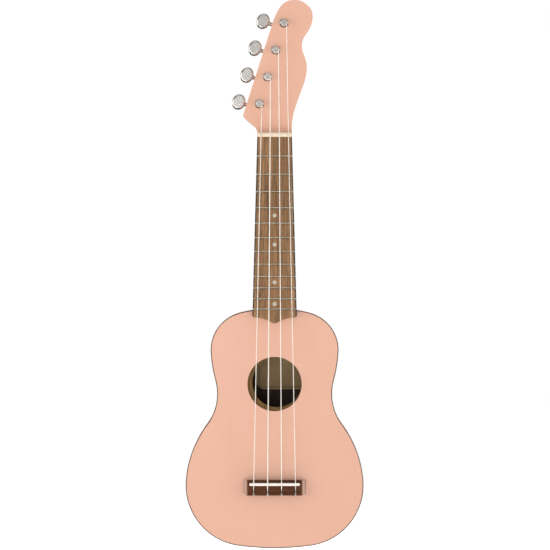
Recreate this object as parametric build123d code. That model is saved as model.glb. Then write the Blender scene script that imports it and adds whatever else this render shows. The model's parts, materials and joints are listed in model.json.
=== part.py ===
from build123d import *
import math
import os

# Soprano ukulele, upright: +Z runs up the neck, -Y faces the player's audience, +X is the
# viewer's right. The origin is on the centreline at the nut's front edge, in the plane of the
# soundboard's face. All sizes are in millimetres.

# Strings and fretting
SCALE_LENGTH = 346.0
FRET_COUNT = 12
DOT_FRETS = (5, 7, 10, 12)
NOTES = ("g", "c", "e", "a")
STRING_D = {"g": 0.75, "c": 1.0, "e": 0.85, "a": 0.7}
NUT_SPACING = 9.15
NUT_CENTRE_X = 0.15
SADDLE_SPACING = 14.0
NUT_STRING_Y = -6.4
SADDLE_TOP_Y = -10.6
STRING_GAP = 0.05
NUT_SLOT_GAP = 0.16
SADDLE_BREAK = 0.9
SADDLE_BREAK_RISE = 0.35
POST_STRING_Y = -1.2
STRING_SHORT_OF_WINDING = 2.4
# Bend radii over the nut and over the saddle
STRING_BENDS = (6.0, 1.4)

# Body shell
BODY_TOP_Z = -173.4
BODY_DEPTH = 58.0
BODY_FLAT = 12.0
# Arcs round half the body from the neck: radius (negative bends inwards) and turn in degrees
BODY_ARCS = ((83.0, 18.2), (38.3, 75.1), (137.5, 12.0), (-51.3, 52.3), (106.2, 33.4), (61.2, 85.9))
PLATE_T = 2.0
SIDE_T = 1.8
BINDING_W = 0.9
BINDING_ROUND = 0.5
LINING_W = 5.0
LINING_H = 7.0
BLOCK_HALF_W = 24.0
NECK_BLOCK_LENGTH = 20.0
TAIL_BLOCK_LENGTH = 13.0
BRACE_CHAMFER = 2.0
TOP_BAR_ZS = (-204.5, -292.5)
TOP_BAR = (8.0, 8.0)
# Fan bars under the bridge: x, lean in degrees, z, length
FAN_BARS = ((0, 0, -317.0, 40.0), (-43, -6, -345.0, 88.0), (43, 6, -345.0, 88.0))
FAN_BAR = (6.0, 6.0)
BACK_BAR_ZS = (-204.5, -288.0, -352.0)
BACK_BAR = (9.0, 7.0)
CROSS_BAR_LENGTH = 200.0
BRIDGE_PATCH_X = 33.0
BRIDGE_PATCH_Z = (-363.0, -338.0)
BRIDGE_PATCH_T = 1.4

SOUNDHOLE_Z = -248.3
SOUNDHOLE_R = 27.3
RING_OUTER_R = 38.0
RING_HOLE_R = 24.8
RING_HOLE_X = 2.4
RING_HOLE_DZ = 1.5
RING_T = 1.6
LABEL_X = (-18.2, 38.0)
LABEL_Z = (-255.2, -216.0)
LABEL_T = 0.15
LABEL_CORNER_R = 8.0

# Bridge
BRIDGE_Z = -352.2
BRIDGE_W = 15.4
BRIDGE_H = 8.0
BRIDGE_HALF_BLOCK = 27.0
BRIDGE_HALF_L = 31.1
BRIDGE_TIP_H = 1.8
BRIDGE_CORNER_R = 2.6
BRIDGE_EDGE_R = 0.5
SADDLE_Z = -348.7
SADDLE_L = 51.0
SADDLE_T = 2.9
SADDLE_SLOT_Y = -4.0
SADDLE_ROUND = 1.2
TIE_SLOT_W = 1.8
TIE_SLOT_TOP_Z = -352.3
TIE_SLOT_Y = -2.2
KNOT_R = 1.25
KNOT_Y = -3.7
KNOT_Z = -358.4

# Neck, fingerboard and nut
NUT_HALF_W = 17.45
HEEL_HALF_W = 22.2
NECK_DEPTH_NUT = 14.0
NECK_DEPTH_HEEL = 16.5
NECK_SIDE = 3.0
BOARD_T = 5.0
BOARD_END_Z = -180.3
BOARD_END_HALF_W = 22.3
BOARD_TIP_Z = -187.3
BOARD_CORNER = 2.0
BOARD_EDGE_R = 0.5
NUT_T = 4.6
NUT_HEIGHT = 7.4
NUT_ROUND = 3.0
NUT_EDGE_R = 0.4
NUT_PART_HALF_W = 17.0
FRET_CROWN_W = 1.7
FRET_CROWN_H = 1.0
FRET_TANG_W = 0.6
FRET_TANG_D = 1.8
FRET_EDGE_GAP = 0.3
FRET_END_BEVEL = 0.7
DOT_R = 2.0
DOT_DEPTH = 1.2
SIDE_DOT_R = 0.9
DOWEL_R = 4.0
DOWEL_ABOVE = 8.0
DOWEL_BELOW = 12.0
DOWEL_YS = (16.0, 38.0)
NECK_OVERHANG = 3.0
# Heel sections: depth behind the soundboard's face, half width, reach up the neck
HEEL_SECTIONS = (
    (5.0, 21.6, 44.0),
    (14.0, 20.6, 25.0),
    (25.0, 18.0, 15.5),
    (39.0, 15.2, 11.0),
    (52.0, 13.4, 9.5),
)

# Headstock
HEAD_FACE_Y = 2.5
HEAD_BACK_Y = 15.0
HEAD_ROUND = 1.0
HEAD_STEP_END_Z = 10.5
HEAD_LEAN = 17.5
HEAD_CUT_REACH = 160.0
CHEEK_TOP_Z = 17.0

# Tuners, one every tuner pitch along the leaning row
FIRST_POST = (-15.2, 33.35)
POST_STEP = (8.17, 27.15)
TUNER_LEAN = 20.5
POST_TOP_Y = -6.8
POST_HEAD_R = 2.6
POST_HEAD_BEVEL = 0.4
POST_WAIST_R = 2.2
POST_WAIST_Y = (-4.2, 0.3)
POST_BORE_R = 0.8
POST_BORE_END_Y = -3.0
POST_HOLE_R = 0.65
POST_HOLE_Y = -3.4
POST_R = 3.0
RUNNING_GAP = 0.05
POST_SHOULDER_Y = 18.2
SPIGOT_W = 3.0
BUSHING_FLANGE_R = 4.85
BUSHING_BARREL_R = 3.9
BUSHING_TOP_Y = 0.9
BUSHING_SLOPE_W = 1.35
BUSHING_RIM_T = 0.2
BUSHING_END_Y = 9.0
TUNER_PLATE_T = 1.2
TUNER_PLATE_HALF_W = 5.4
TUNER_PLATE_CORNER_R = 2.4
TUNER_PLATE_TOP = 8.6
TUNER_PLATE_BOTTOM = -12.8
TUNER_SCREW_ZS = (6.5, -10.6)
TUNER_SCREW_R = 1.0
TUNER_SCREW_HEAD_R = 1.8
TUNER_SCREW_LENGTH = 8.0

# Worm and wheel: single-start worm, centre distance from the two pitch radii
MODULE = 0.45
WHEEL_TEETH = 14
WORM_PITCH_R = 1.65
ADDENDUM = 0.36
DEDENDUM = 0.50
FLANK_ANGLE = 20.0
BACKLASH = 0.13
WHEEL_T = 3.0
WORM_Y = 19.8
WORM_TURNS = 4
LUG_INNER = 3.6
LUG_T = 1.6
LUG_HALF_W = 2.4
LUG_TOP_Y = 22.2
LUG_ROUND = 1.6
JOURNAL_R = 1.1
SHAFT_R = 1.35
END_PLAY = 0.1
RIVET_R = 1.7
RIVET_T = 0.7
WHEEL_SCREW_R = 0.9
WHEEL_SCREW_HEAD_R = 2.2
WHEEL_SCREW_HEAD_T = 1.3

# Oval button
BUTTON_X = -20.5
BUTTON_HALF_LENGTH = 6.75
BUTTON_HALF_W = 8.1
BUTTON_T = 6.2
BUTTON_ROUND = 1.9
BUTTON_BORE_END = -19.0
COLLAR_END = -10.9
COLLAR_R = 1.9
FLARE_END = -15.6
FLARE_R = 3.0

WORM_PITCH = math.pi * MODULE
WHEEL_PITCH_R = MODULE * WHEEL_TEETH / 2
CENTRE_DISTANCE = WORM_PITCH_R + WHEEL_PITCH_R
LEAD_ANGLE = math.degrees(math.atan(WORM_PITCH / (2 * math.pi * WORM_PITCH_R)))


# ---------------------------------------------------------------- helpers


def slab(face, front_y, back_y):
    """A flat piece cut to a plan drawn in X and Z, between two depths."""
    return extrude(Plane.XZ.offset(-back_y) * face, back_y - front_y)


def box(x_low, x_high, y_low, y_high, z_low, z_high):
    """A box given by its limits."""
    centre = ((x_low + x_high) / 2, (y_low + y_high) / 2, (z_low + z_high) / 2)
    return Pos(*centre) * Box(x_high - x_low, y_high - y_low, z_high - z_low)


def rod(radius, start, end):
    """A round rod between two points."""
    reach = Vector(*end) - Vector(*start)
    return Solid.make_cylinder(radius, reach.length, Plane(origin=start, z_dir=reach))


def turned(profile, plane):
    """A solid turned about the plane's own X axis, from (length, radius) points."""
    face = make_face(Polyline(*profile, close=True))
    return revolve(plane * face, Axis(plane.origin, plane.x_dir))


def fret_z(number):
    """Height of a fret below the nut."""
    return -SCALE_LENGTH * (1 - 2 ** (-number / 12))


def string_x(index, spacing, centre=0.0):
    """Sideways place of a string, from the left."""
    return centre + (index - 1.5) * spacing


def post_place(index):
    """Where a post's axis crosses the soundboard plane, in X and Z."""
    return (FIRST_POST[0] + index * POST_STEP[0], FIRST_POST[1] + index * POST_STEP[1])


def tuner_frame(index):
    """Tuner frame: X from button to post, Y backwards along the post, Z up the headstock."""
    x, z = post_place(index)
    return Pos(x, 0, z) * Rot(0, TUNER_LEAN, 0)


# ---------------------------------------------------------------- body shell


def closing_arc():
    """The last arc of half the body, which meets the centreline square."""
    x = BODY_FLAT
    heading = 0.0
    for radius, turn in BODY_ARCS:
        new_heading = heading - math.copysign(math.radians(turn), radius)
        x += radius * (math.sin(heading) - math.sin(new_heading))
        heading = new_heading
    rest = math.pi + heading
    return (x / math.sin(rest), math.degrees(rest))


def body_face(inset=0.0):
    """The body's plan, drawn inwards by an inset."""
    x = BODY_FLAT
    z = BODY_TOP_Z - inset
    heading = 0.0
    half = Curve() + Line((0, z), (x, z))
    for arc_radius, turn in (*BODY_ARCS, closing_arc()):
        radius = arc_radius - inset
        centre = (x + radius * math.sin(heading), z - radius * math.cos(heading))
        swing = -math.copysign(math.radians(turn), radius)
        points = []
        for share in (0.0, 0.5, 1.0):
            angle = heading + share * swing
            points.append((centre[0] - radius * math.sin(angle), centre[1] + radius * math.cos(angle)))
        half += ThreePointArc(*points)
        x, z = points[-1]
        heading += swing
    return make_face(half + mirror(half, about=Plane.YZ))


def body_bottom_z():
    """Lowest point of the body."""
    return body_face().bounding_box().min.Y


def block_plans():
    """Rectangles that the neck block and the tail block are cut from."""
    neck_low = BODY_TOP_Z - SIDE_T - NECK_BLOCK_LENGTH
    tail_high = body_bottom_z() + SIDE_T + TAIL_BLOCK_LENGTH
    neck = Pos(0, neck_low + 20) * Rectangle(2 * BLOCK_HALF_W, 40)
    tail = Pos(0, tail_high - 20) * Rectangle(2 * BLOCK_HALF_W, 40)
    return neck, tail


def dowels():
    """Two dowels across the heel joint."""
    low = BODY_TOP_Z - DOWEL_BELOW
    high = BODY_TOP_Z + DOWEL_ABOVE
    return [rod(DOWEL_R, (0, y, low), (0, y, high)) for y in DOWEL_YS]


def soundboard():
    hole = Pos(0, SOUNDHOLE_Z) * Circle(SOUNDHOLE_R)
    return slab(body_face(BINDING_W) - hole, 0, PLATE_T)


def back_plate():
    return slab(body_face(BINDING_W), BODY_DEPTH - PLATE_T, BODY_DEPTH)


def binding(front_y, back_y, rounded_end):
    """Thin strip round a plate, with its outer edge rounded."""
    strip = slab(body_face() - body_face(BINDING_W), front_y, back_y)
    end_faces = strip.faces().filter_by(Axis.Y).sort_by(Axis.Y)
    face = end_faces[0] if rounded_end == "front" else end_faces[-1]
    return fillet(face.outer_wire().edges(), BINDING_ROUND)


def side(sign):
    """One bent side, from the neck seam to the tail seam."""
    wall = slab(body_face() - body_face(SIDE_T), PLATE_T, BODY_DEPTH - PLATE_T)
    reach = 120.0
    half = box(min(0, sign * reach), max(0, sign * reach), 0, BODY_DEPTH, -450, -150)
    piece = wall & half
    for dowel in dowels():
        piece -= dowel
    return piece


def neck_block():
    plan = body_face(SIDE_T) & block_plans()[0]
    block = slab(plan, PLATE_T, BODY_DEPTH - PLATE_T)
    for dowel in dowels():
        block -= dowel
    return block


def tail_block():
    return slab(body_face(SIDE_T) & block_plans()[1], PLATE_T, BODY_DEPTH - PLATE_T)


def linings(front_y, back_y):
    """Glue ledges along both sides, between the blocks."""
    neck, tail = block_plans()
    plan = body_face(SIDE_T) - body_face(SIDE_T + LINING_W) - neck - tail
    return slab(plan, front_y, back_y)


def soundhole_ring():
    hole = Pos(RING_HOLE_X, SOUNDHOLE_Z + RING_HOLE_DZ) * Circle(RING_HOLE_R)
    plan = Pos(0, SOUNDHOLE_Z) * Circle(RING_OUTER_R) - hole
    return slab(plan, PLATE_T, PLATE_T + RING_T)


def brace(length, width, height, inner_y, direction):
    """A bar along X on a plate, its free edges chamfered; direction is the way it stands up."""
    bar = Pos(0, inner_y + direction * height / 2, 0) * Box(length, height, width)
    top = bar.faces().filter_by(Axis.Y).sort_by(Axis.Y)
    free = top[-1] if direction > 0 else top[0]
    return chamfer(free.edges().filter_by(Axis.X), BRACE_CHAMFER)


def top_braces():
    """Two cross bars and three fan bars under the soundboard."""
    room = slab(body_face(SIDE_T + LINING_W), PLATE_T, BODY_DEPTH / 2)
    pieces = [Pos(0, 0, z) * brace(CROSS_BAR_LENGTH, *TOP_BAR, PLATE_T, 1) & room for z in TOP_BAR_ZS]
    for x, lean, z, length in FAN_BARS:
        pieces.append(Pos(x, 0, z) * Rot(0, 90 + lean, 0) * brace(length, *FAN_BAR, PLATE_T, 1))
    return pieces


def back_braces():
    """Three cross bars on the back."""
    room = slab(body_face(SIDE_T + LINING_W), BODY_DEPTH / 2, BODY_DEPTH)
    inner = BODY_DEPTH - PLATE_T
    return [Pos(0, 0, z) * brace(CROSS_BAR_LENGTH, *BACK_BAR, inner, -1) & room for z in BACK_BAR_ZS]


def bridge_patch():
    """Thin plate glued under the bridge."""
    return box(-BRIDGE_PATCH_X, BRIDGE_PATCH_X, PLATE_T, PLATE_T + BRIDGE_PATCH_T, *BRIDGE_PATCH_Z)


def label():
    """Plain paper label on the back, under the sound hole."""
    inner = BODY_DEPTH - PLATE_T
    middle = (sum(LABEL_X) / 2, sum(LABEL_Z) / 2)
    size = (LABEL_X[1] - LABEL_X[0], LABEL_Z[1] - LABEL_Z[0])
    return slab(Pos(*middle) * RectangleRounded(*size, LABEL_CORNER_R), inner - LABEL_T, inner)


# ---------------------------------------------------------------- bridge


def saddle_plan():
    return Pos(0, SADDLE_Z) * SlotOverall(SADDLE_L, SADDLE_T)


def bridge():
    """Walnut bridge: a block with scooped ends, a saddle slot and four open string slots."""
    half = Curve() + Line((0, 0), (BRIDGE_HALF_L, 0))
    half += Line((BRIDGE_HALF_L, 0), (BRIDGE_HALF_L, -BRIDGE_TIP_H))
    mid = (BRIDGE_HALF_BLOCK + 1.0, -BRIDGE_TIP_H - 2.0)
    half += ThreePointArc((BRIDGE_HALF_L, -BRIDGE_TIP_H), mid, (BRIDGE_HALF_BLOCK, -BRIDGE_H))
    half += Line((BRIDGE_HALF_BLOCK, -BRIDGE_H), (0, -BRIDGE_H))
    profile = make_face(half + mirror(half, about=Plane.YZ))
    low_z = BRIDGE_Z - BRIDGE_W / 2
    block = extrude(Plane.XY.offset(low_z) * profile, BRIDGE_W)
    plan = Pos(0, BRIDGE_Z) * Rectangle(2 * BRIDGE_HALF_L, BRIDGE_W)
    plan = fillet(plan.vertices().group_by(Axis.Y)[0], BRIDGE_CORNER_R)
    block &= slab(plan, -BRIDGE_H - 1, 1)
    block = fillet(block.faces().sort_by(Axis.Y)[0].outer_wire().edges(), BRIDGE_EDGE_R)
    block -= slab(saddle_plan(), -BRIDGE_H - 1, SADDLE_SLOT_Y)
    for index in range(len(NOTES)):
        x = string_x(index, SADDLE_SPACING)
        half_w = TIE_SLOT_W / 2
        block -= box(x - half_w, x + half_w, -BRIDGE_H - 1, TIE_SLOT_Y, low_z - 1, TIE_SLOT_TOP_Z)
        block -= rod(KNOT_R + RUNNING_GAP, (x, KNOT_Y, low_z - 1), (x, KNOT_Y, KNOT_Z + KNOT_R + 0.4))
    return block


def saddle():
    bar = slab(saddle_plan(), SADDLE_TOP_Y, SADDLE_SLOT_Y)
    top = bar.faces().filter_by(Axis.Y).sort_by(Axis.Y)[0]
    return fillet(top.edges(), SADDLE_ROUND)


# ---------------------------------------------------------------- neck


def neck_section(z, half_w, depth):
    """A neck section: flat face, short straight sides and a round back."""
    outline = Curve() + Polyline((-half_w, NECK_SIDE), (-half_w, 0), (half_w, 0), (half_w, NECK_SIDE))
    outline += ThreePointArc((half_w, NECK_SIDE), (0, depth), (-half_w, NECK_SIDE))
    return Plane.XY.offset(z) * make_face(outline)


def heel():
    """Heel: ellipses that shrink with depth, cut off inside the body's end."""
    sections = []
    for y, half_w, reach in HEEL_SECTIONS:
        sections.append(Plane.XZ.offset(-y) * Pos(0, BODY_TOP_Z) * Ellipse(half_w, reach))
    return loft(sections) & box(-60, 60, 0, BODY_DEPTH, BODY_TOP_Z - NECK_OVERHANG, 0)


def headstock_face():
    """The headstock's plan: straight tuner edge on the left, curved edge on the right."""
    up = (math.sin(math.radians(HEAD_LEAN)), math.cos(math.radians(HEAD_LEAN)))
    left_top = (-3.2, 111.2)
    corners = ((-17.0, -4), (-17.0, 4.5), (-18.9, 9.0), (-32.2, 20.6), left_top)
    outline = Curve() + FilletPolyline(*corners, radius=(2.5, 3.5, 4.5))
    down = (0, -1)
    runs = (
        ((left_top, (3.9, 128.2), (20.3, 138.0)), (up, (1, 0))),
        (((20.3, 138.0), (32.4, 133.2), (38.3, 121.8)), ((1, 0), down)),
        (((38.3, 121.8), (33.8, 106.9), (27.4, 91.6)), (down, down)),
        (((27.4, 91.6), (29.5, 82.6), (32.4, 70.2)), (down, down)),
        (((32.4, 70.2), (26.8, 46.6), (20.4, 28.5), (17.2, 4.6)), (down, down)),
    )
    for points, tangents in runs:
        outline += Spline(*points, tangents=tangents)
    outline += Polyline((17.2, 4.6), (17.2, -4), (-17.0, -4))
    return make_face(outline)


def headstock():
    """Headstock plate with rounded rims and the curved cheek where the neck runs in."""
    plate = slab(headstock_face(), HEAD_FACE_Y, HEAD_BACK_Y)
    for face in (plate.faces().sort_by(Axis.Y)[0], plate.faces().sort_by(Axis.Y)[-1]):
        plate = fillet(face.outer_wire().edges(), HEAD_ROUND)
    cheek = Curve() + Polyline((CHEEK_TOP_Z, 30), (-10, 30), (-10, 3.2), (-2, 3.2))
    cheek += Spline((-2, 3.2), (CHEEK_TOP_Z, HEAD_BACK_Y + 0.01), tangents=((1, 0.3), (0.6, 1)))
    cheek += Line((CHEEK_TOP_Z, HEAD_BACK_Y + 0.01), (CHEEK_TOP_Z, 30))
    side_view = Plane(origin=(-60, 0, 0), x_dir=(0, 0, 1), z_dir=(-1, 0, 0))
    cutter = extrude(side_view * make_face(cheek), -120)
    return plate - cutter


def neck():
    """Neck shaft, heel and headstock in one piece of wood."""
    sections = (
        neck_section(BODY_TOP_Z - NECK_OVERHANG, HEEL_HALF_W, NECK_DEPTH_HEEL),
        neck_section(0, NUT_HALF_W, NECK_DEPTH_NUT),
        neck_section(CHEEK_TOP_Z + 5, NUT_HALF_W - 0.6, HEAD_BACK_Y - 0.5),
    )
    wood = loft(sections[:2], ruled=True) + loft(sections[1:], ruled=True)
    wood += heel()
    above = ((NUT_T, 0), (NUT_T, -30), (HEAD_CUT_REACH, -30), (HEAD_CUT_REACH, HEAD_FACE_Y))
    step = Curve() + Polyline(*above, (HEAD_STEP_END_Z, HEAD_FACE_Y))
    step += Spline((HEAD_STEP_END_Z, HEAD_FACE_Y), (NUT_T, 0), tangents=((-1, 0), (-1, -1)))
    side_view = Plane(origin=(-60, 0, 0), x_dir=(0, 0, 1), z_dir=(-1, 0, 0))
    wood -= extrude(side_view * make_face(step), -120)
    wood += headstock()
    wood -= slab(body_face(), -1, BODY_DEPTH + 1)
    for dowel in dowels():
        wood -= dowel
    for index in range(len(NOTES)):
        frame = tuner_frame(index)
        wood -= frame * rod(BUSHING_BARREL_R, (0, 0, 0), (0, BUSHING_END_Y, 0))
        wood -= frame * rod(POST_R + 0.4, (0, 0, 0), (0, HEAD_BACK_Y + 5, 0))
        for z in TUNER_SCREW_ZS:
            bottom = HEAD_BACK_Y - TUNER_SCREW_LENGTH
            wood -= frame * rod(TUNER_SCREW_R, (0, bottom, z), (0, HEAD_BACK_Y + 1, z))
    return wood


def board_half_width(z):
    """Half width of the fingerboard at a height."""
    return NUT_HALF_W + (BOARD_END_HALF_W - NUT_HALF_W) * z / BOARD_END_Z


def fingerboard():
    """Walnut board with a pointed end over the soundboard, slotted for frets and dots."""
    half = Curve() + Line((0, 0), (NUT_HALF_W, 0))
    side_end = (board_half_width(BOARD_END_Z + BOARD_CORNER), BOARD_END_Z + BOARD_CORNER)
    corner_end = (BOARD_END_HALF_W - BOARD_CORNER, BOARD_END_Z - 1.0)
    corner_mid = (BOARD_END_HALF_W - 0.4, BOARD_END_Z + 0.2)
    half += Line((NUT_HALF_W, 0), side_end)
    half += ThreePointArc(side_end, corner_mid, corner_end)
    half += ThreePointArc(corner_end, (9.4, BOARD_TIP_Z + 4.1), (2.0, BOARD_TIP_Z + 0.5))
    half += ThreePointArc((2.0, BOARD_TIP_Z + 0.5), (1.2, BOARD_TIP_Z + 0.15), (0, BOARD_TIP_Z))
    board = slab(make_face(half + mirror(half, about=Plane.YZ)), -BOARD_T, 0)
    rim = board.faces().sort_by(Axis.Y)[0].outer_wire().edges()
    board = fillet(rim.filter_by_position(Axis.Z, -500, -0.01), BOARD_EDGE_R)
    half_tang = FRET_TANG_W / 2
    for number in range(1, FRET_COUNT + 1):
        z = fret_z(number)
        board -= box(-30, 30, -BOARD_T - 1, FRET_TANG_D - BOARD_T, z - half_tang, z + half_tang)
    for dot in position_dots() + side_dots():
        board -= dot
    return board


def frets():
    """Twelve T-shaped frets: a rounded crown on the board and a tang in its slot."""
    pieces = []
    half_w = FRET_CROWN_W / 2
    half_tang = FRET_TANG_W / 2
    for number in range(1, FRET_COUNT + 1):
        z = fret_z(number)
        half_length = board_half_width(z) - FRET_EDGE_GAP
        section = Curve() + ThreePointArc((-half_w, 0), (0, -FRET_CROWN_H), (half_w, 0))
        section += Polyline((half_w, 0), (half_tang, 0), (half_tang, FRET_TANG_D))
        section += Polyline((half_tang, FRET_TANG_D), (-half_tang, FRET_TANG_D), (-half_tang, 0))
        section += Line((-half_tang, 0), (-half_w, 0))
        end = Plane(origin=(half_length, -BOARD_T, z), x_dir=(0, 0, 1), z_dir=(-1, 0, 0))
        fret = extrude(end * make_face(section), 2 * half_length)
        crown_top = -BOARD_T - FRET_CROWN_H
        half_top = half_length - FRET_END_BEVEL
        ends = ((half_length, 0), (half_length, -BOARD_T), (half_top, crown_top))
        mirrored = ((-x, y) for x, y in reversed(ends))
        outline = make_face(Polyline(*ends, *mirrored, close=True))
        pieces.append(fret & extrude(Plane.XY.offset(z - half_w) * outline, 2 * half_w))
    return pieces


def dot_z(number):
    """Middle of the space behind a fret."""
    return (fret_z(number - 1) + fret_z(number)) / 2


def position_dots():
    """Round inlays, flush with the board's face."""
    zs = [dot_z(number) for number in DOT_FRETS]
    return [rod(DOT_R, (0, -BOARD_T, z), (0, DOT_DEPTH - BOARD_T, z)) for z in zs]


def side_dots():
    """Small markers in the board's edge that faces the player."""
    slope = (BOARD_END_HALF_W - NUT_HALF_W) / -BOARD_END_Z
    pieces = []
    for number in DOT_FRETS:
        z = dot_z(number)
        edge = (-board_half_width(z), -BOARD_T / 2, z)
        pieces.append(rod(SIDE_DOT_R, edge, (edge[0] + 1.5, edge[1], z + 1.5 * -slope)))
    return pieces


def nut():
    """Nut with a rounded rear top edge and four string slots that fall away to the posts."""
    block = box(-NUT_PART_HALF_W, NUT_PART_HALF_W, -NUT_HEIGHT, 0, 0, NUT_T)
    rear = block.edges().filter_by(Axis.X).group_by(Axis.Y)[0].sort_by(Axis.Z)[-1]
    block = fillet(rear, NUT_ROUND)
    top = block.faces().sort_by(Axis.Y)[0]
    block = fillet(top.edges().filter_by(Axis.X).sort_by(Axis.Z)[0], NUT_EDGE_R)
    floor_y = NUT_STRING_Y + STRING_GAP
    for index, note in enumerate(NOTES):
        start, bend = string_route(index, note)[:2]
        fall = (start.Y - bend.Y) / (start.Z - bend.Z)
        rear_y = floor_y + fall * (NUT_T / 2 + 1)
        points = ((-1, -20), (-1, floor_y), (NUT_T / 2, floor_y), (NUT_T + 1, rear_y), (NUT_T + 1, -20))
        half_w = STRING_D[note] / 2 + NUT_SLOT_GAP
        end = Plane(origin=(bend.X + half_w, 0, 0), x_dir=(0, 0, 1), z_dir=(-1, 0, 0))
        block -= extrude(end * make_face(Polyline(*points, close=True)), 2 * half_w)
    return block


# ---------------------------------------------------------------- tuners


def bushing():
    """Press-in bushing: domed flange on the face, barrel in the wood."""
    profile = (
        (BUSHING_TOP_Y, POST_R + RUNNING_GAP),
        (BUSHING_TOP_Y, BUSHING_FLANGE_R - BUSHING_SLOPE_W),
        (HEAD_FACE_Y - BUSHING_RIM_T, BUSHING_FLANGE_R),
        (HEAD_FACE_Y, BUSHING_FLANGE_R),
        (HEAD_FACE_Y, BUSHING_BARREL_R),
        (BUSHING_END_Y, BUSHING_BARREL_R),
        (BUSHING_END_Y, POST_R + RUNNING_GAP),
    )
    return turned(profile, post_plane())


def post_plane():
    """Plane whose X axis is the post's axis, pointing back."""
    return Plane(origin=(0, 0, 0), x_dir=(0, 1, 0), z_dir=(0, 0, 1))


def post():
    """String post: head, waist for the windings, bearing part and square spigot."""
    profile = (
        (POST_TOP_Y, 0),
        (POST_TOP_Y, POST_HEAD_R - POST_HEAD_BEVEL),
        (POST_TOP_Y + POST_HEAD_BEVEL, POST_HEAD_R),
        (POST_WAIST_Y[0] - 0.5, POST_HEAD_R),
        (POST_WAIST_Y[0], POST_WAIST_R),
        (POST_WAIST_Y[1], POST_WAIST_R),
        (POST_WAIST_Y[1] + 0.5, POST_R),
        (POST_SHOULDER_Y, POST_R),
        (POST_SHOULDER_Y, 0),
    )
    piece = turned(profile, post_plane())
    half = SPIGOT_W / 2
    piece += box(-half, half, POST_SHOULDER_Y, WORM_Y + WHEEL_T / 2, -half, half)
    piece -= rod(POST_BORE_R, (0, POST_TOP_Y - 1, 0), (0, POST_BORE_END_Y, 0))
    piece -= rod(POST_HOLE_R, (-5, POST_HOLE_Y, 0), (5, POST_HOLE_Y, 0))
    return piece - wheel_screw_shank()


def wheel_screw_shank():
    return rod(WHEEL_SCREW_R, (0, WORM_Y - 1.0, 0), (0, WORM_Y + WHEEL_T / 2, 0))


def wheel_screw():
    """Slotted screw that holds the wheel on the post."""
    face_y = WORM_Y + WHEEL_T / 2
    head = rod(WHEEL_SCREW_HEAD_R, (0, face_y, 0), (0, face_y + WHEEL_SCREW_HEAD_T, 0))
    head = chamfer(head.edges().filter_by(GeomType.CIRCLE).sort_by(Axis.Y)[-1], 0.4)
    head -= box(-3, 3, face_y + 0.7, face_y + 2, -0.3, 0.3)
    return head + wheel_screw_shank()


def wheel():
    """Worm wheel: straight gashes across the rim, slanted to the worm's lead."""
    rim = WHEEL_PITCH_R + ADDENDUM
    disc = rod(rim, (0, WORM_Y - WHEEL_T / 2, 0), (0, WORM_Y + WHEEL_T / 2, 0))
    slope = math.tan(math.radians(FLANK_ANGLE))
    half_pitch = WORM_PITCH / 4 + BACKLASH / 2
    top = half_pitch + (ADDENDUM + 0.6) * slope
    bottom = half_pitch - DEDENDUM * slope
    outside = ((-top, ADDENDUM + 0.6), (top, ADDENDUM + 0.6))
    gash = Polyline(*outside, (bottom, -DEDENDUM), (-bottom, -DEDENDUM), close=True)
    lean = math.radians(LEAD_ANGLE)
    across = Plane(
        origin=(0, WORM_Y, -WHEEL_PITCH_R),
        x_dir=(math.cos(lean), math.sin(lean), 0),
        z_dir=(-math.sin(lean), math.cos(lean), 0),
    )
    cutter = extrude(across * make_face(gash), 3 * WHEEL_T, both=True)
    spin = Axis((0, 0, 0), (0, 1, 0))
    for tooth in range(WHEEL_TEETH):
        disc -= cutter.rotate(spin, 360 / WHEEL_TEETH * tooth)
    half = SPIGOT_W / 2
    return disc - box(-half, half, 0, 40, -half, half)


def worm():
    """Worm, its journals, its riveted end and the shaft that carries the button."""
    axis = Plane(origin=(0, WORM_Y, -CENTRE_DISTANCE), x_dir=(1, 0, 0), z_dir=(0, 0, 1))
    root = WORM_PITCH_R - DEDENDUM
    outer = LUG_INNER + LUG_T + END_PLAY
    core = LUG_INNER - END_PLAY
    profile = (
        (BUTTON_BORE_END, 0),
        (BUTTON_BORE_END, SHAFT_R),
        (-outer, SHAFT_R),
        (-outer, JOURNAL_R),
        (-core, JOURNAL_R),
        (-core, root),
        (core, root),
        (core, JOURNAL_R),
        (outer, JOURNAL_R),
        (outer, RIVET_R),
        (outer + RIVET_T, RIVET_R - 0.3),
        (outer + RIVET_T, 0),
    )
    return turned(profile, axis) + worm_thread()


def worm_thread():
    """One right-handed thread, its crest facing the wheel at mid length."""
    length = WORM_TURNS * WORM_PITCH
    slope = math.tan(math.radians(FLANK_ANGLE))
    half_pitch = WORM_PITCH / 4 - BACKLASH / 2
    tip = half_pitch - ADDENDUM * slope
    # The thread's foot is sunk a little into the core
    sunk = DEDENDUM + 0.15
    foot = half_pitch + sunk * slope
    path = Helix(WORM_PITCH, length, WORM_PITCH_R)
    section = Polyline((-sunk, -foot), (ADDENDUM, -tip), (ADDENDUM, tip), (-sunk, foot), close=True)
    start = Plane(origin=path @ 0, x_dir=(1, 0, 0), z_dir=path % 0)
    thread = sweep(start * make_face(section), path, is_frenet=True)
    seat = Plane(origin=(-length / 2, WORM_Y, -CENTRE_DISTANCE), x_dir=(0, 0, 1), z_dir=(1, 0, 0))
    return seat.location * thread


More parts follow.
